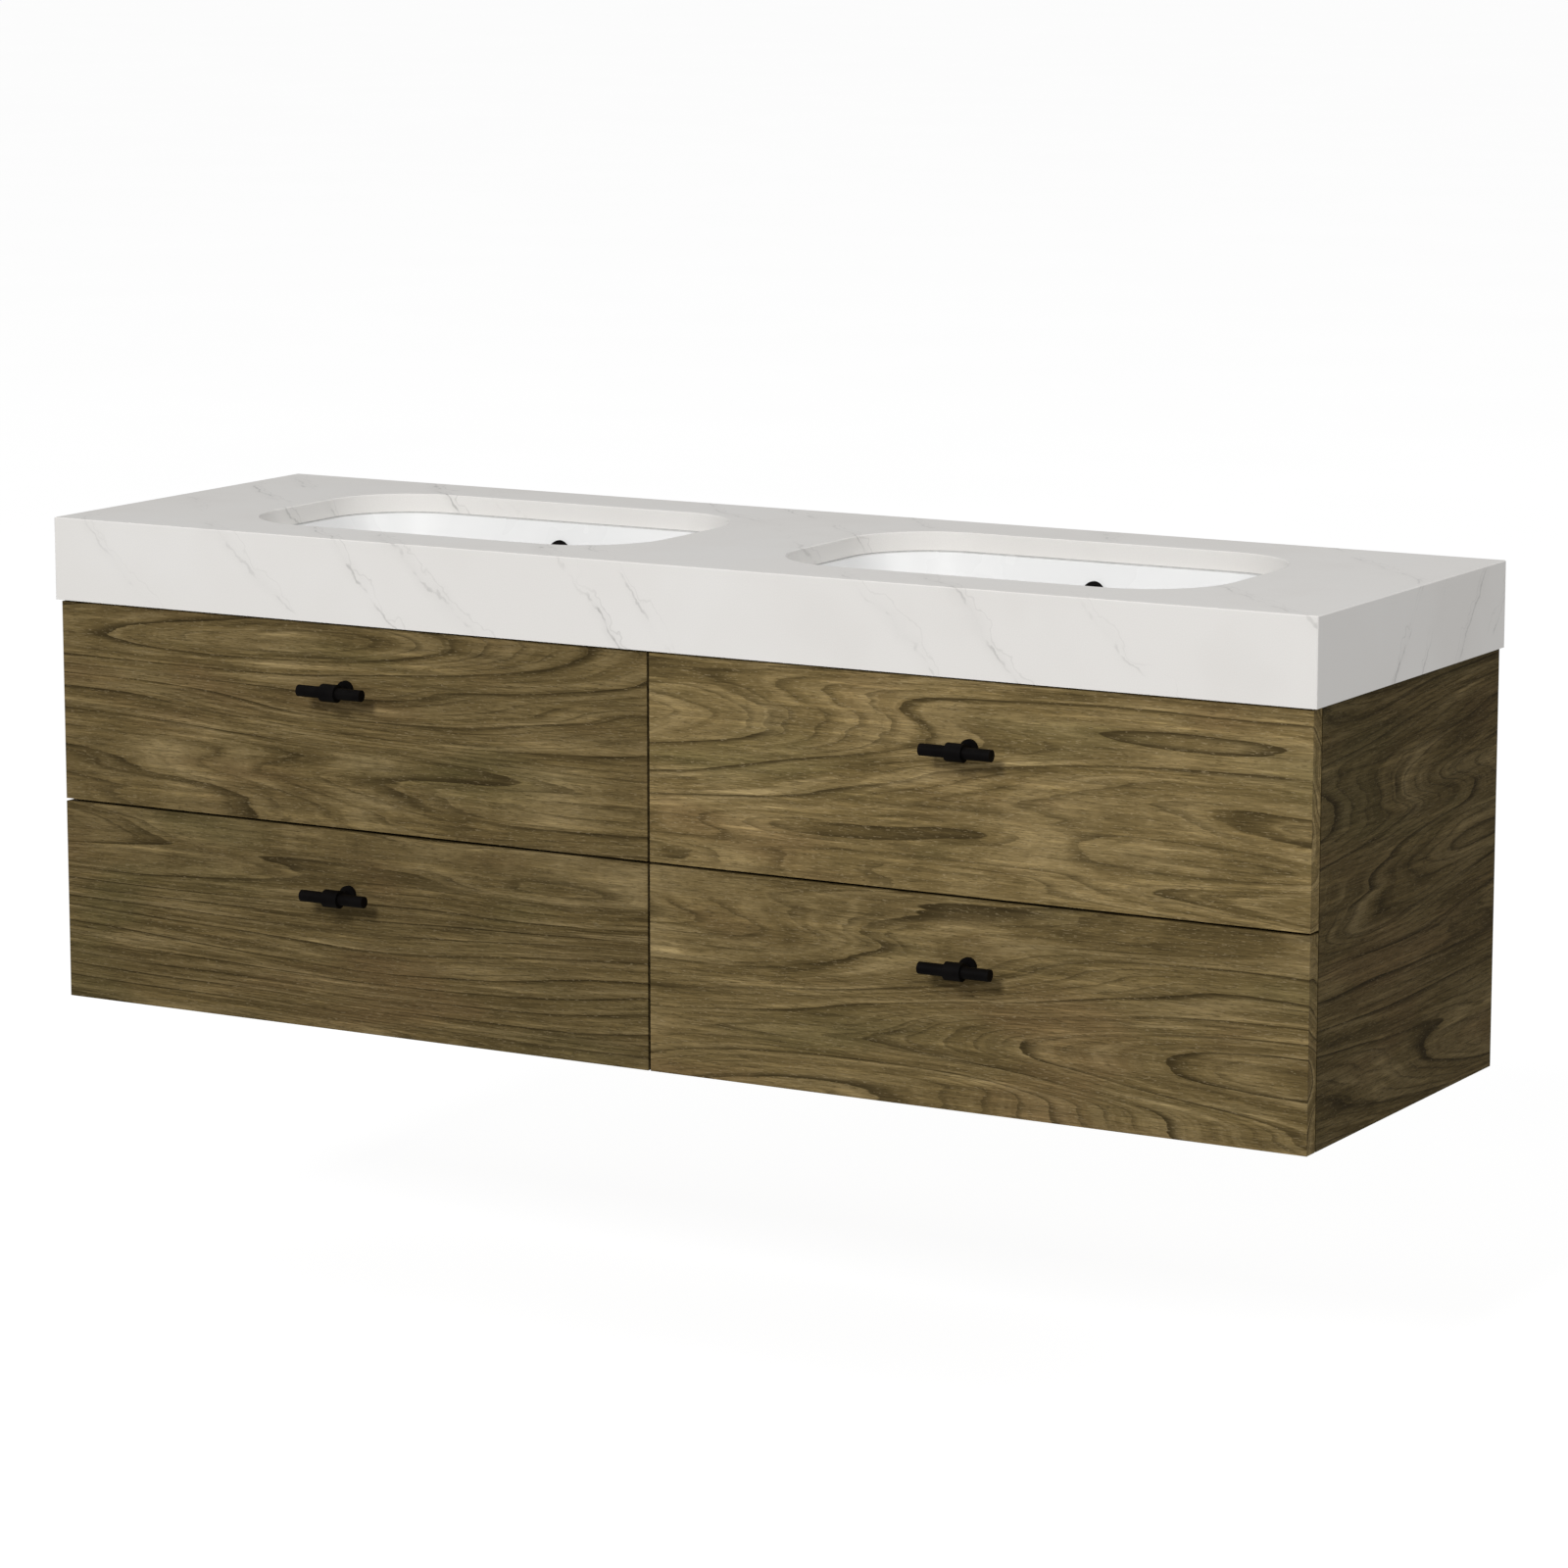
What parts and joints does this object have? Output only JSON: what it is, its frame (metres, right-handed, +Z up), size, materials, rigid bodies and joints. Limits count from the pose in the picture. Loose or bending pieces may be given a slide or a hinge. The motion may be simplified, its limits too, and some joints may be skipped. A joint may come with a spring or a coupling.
{
  "type": "wall-hung double vanity cabinet",
  "caption": "Wall-hung double vanity: drawer cabinet in wood veneer with T-bar handles under a thick mitred stone top with undermount basins.",
  "frame": {"origin": "middle of the four wall screw holes, in the wall plane at the back", "axes": "+X to the right along the long side, +Y into the wall (the fronts face -Y), +Z up"},
  "size_m": [1.5, 0.4945, 0.53],
  "materials": {
    "stone": "honed white marble-look stone with grey veins",
    "walnut": "matt olive-brown walnut veneer",
    "birch": "clear satin lacquer",
    "ceramic": "gloss white glaze",
    "black_metal": "matt black powder coat",
    "steel": "zinc-plated",
    "silicone": "satin"
  },
  "bodies": {
    "cabinet": {"countertop_slab": "stone", "apron_front": "stone", "apron_left": "stone", "apron_right": "stone", "buildup_battens": "birch", "basin_left": "ceramic", "basin_right": "ceramic", "basin_seals": "silicone", "basin_clips": "steel", "clip_screws": "steel", "overflow_rings": "black_metal", "waste_bodies": "black_metal", "waste_nuts": "black_metal", "side_left": "walnut", "side_right": "walnut", "partition": "walnut", "bottom_panel": "walnut", "front_rail": "walnut", "middle_rail": "walnut", "hanging_rail": "birch", "lower_rail": "birch", "cabinet_runners": "steel"},
    "plug_left": {"plug_left": "black_metal"},
    "plug_right": {"plug_right": "black_metal"},
    "ul_drawer": {"ul_front": "walnut", "ul_sides": "birch", "ul_back": "birch", "ul_bottom": "birch", "ul_runner": "steel", "ul_bar": "black_metal", "ul_post": "black_metal", "ul_screw": "steel"},
    "ul_middle": {"ul_midrunner": "steel"},
    "ur_drawer": {"ur_front": "walnut", "ur_sides": "birch", "ur_back": "birch", "ur_bottom": "birch", "ur_runner": "steel", "ur_bar": "black_metal", "ur_post": "black_metal", "ur_screw": "steel"},
    "ur_middle": {"ur_midrunner": "steel"},
    "ll_drawer": {"ll_front": "walnut", "ll_sides": "birch", "ll_back": "birch", "ll_bottom": "birch", "ll_runner": "steel", "ll_bar": "black_metal", "ll_post": "black_metal", "ll_screw": "steel"},
    "ll_middle": {"ll_midrunner": "steel"},
    "lr_drawer": {"lr_front": "walnut", "lr_sides": "birch", "lr_back": "birch", "lr_bottom": "birch", "lr_runner": "steel", "lr_bar": "black_metal", "lr_post": "black_metal", "lr_screw": "steel"},
    "lr_middle": {"lr_midrunner": "steel"}
  },
  "joints": [
    {"name": "ul_drawer_slide", "type": "slide", "parent": "cabinet", "child": "ul_drawer", "axis": [0, -1, 0], "range_m": [0, 0.36]},
    {"name": "ul_middle_slide", "type": "slide", "parent": "cabinet", "child": "ul_middle", "axis": [0, -1, 0], "range_m": [0, 0.18]},
    {"name": "ur_drawer_slide", "type": "slide", "parent": "cabinet", "child": "ur_drawer", "axis": [0, -1, 0], "range_m": [0, 0.36]},
    {"name": "ur_middle_slide", "type": "slide", "parent": "cabinet", "child": "ur_middle", "axis": [0, -1, 0], "range_m": [0, 0.18]},
    {"name": "ll_drawer_slide", "type": "slide", "parent": "cabinet", "child": "ll_drawer", "axis": [0, -1, 0], "range_m": [0, 0.36]},
    {"name": "ll_middle_slide", "type": "slide", "parent": "cabinet", "child": "ll_middle", "axis": [0, -1, 0], "range_m": [0, 0.18]},
    {"name": "lr_drawer_slide", "type": "slide", "parent": "cabinet", "child": "lr_drawer", "axis": [0, -1, 0], "range_m": [0, 0.36]},
    {"name": "lr_middle_slide", "type": "slide", "parent": "cabinet", "child": "lr_middle", "axis": [0, -1, 0], "range_m": [0, 0.18]},
    {"name": "plug_left_lift", "type": "slide", "parent": "cabinet", "child": "plug_left", "axis": [0, 0, 1], "range_m": [0, 0.008]},
    {"name": "plug_right_lift", "type": "slide", "parent": "cabinet", "child": "plug_right", "axis": [0, 0, 1], "range_m": [0, 0.008]}
  ],
  "couplings": [
    {"joint": "ul_middle_slide", "follows": "ul_drawer_slide", "ratio": 0.5},
    {"joint": "ur_middle_slide", "follows": "ur_drawer_slide", "ratio": 0.5},
    {"joint": "ll_middle_slide", "follows": "ll_drawer_slide", "ratio": 0.5},
    {"joint": "lr_middle_slide", "follows": "lr_drawer_slide", "ratio": 0.5}
  ]
}
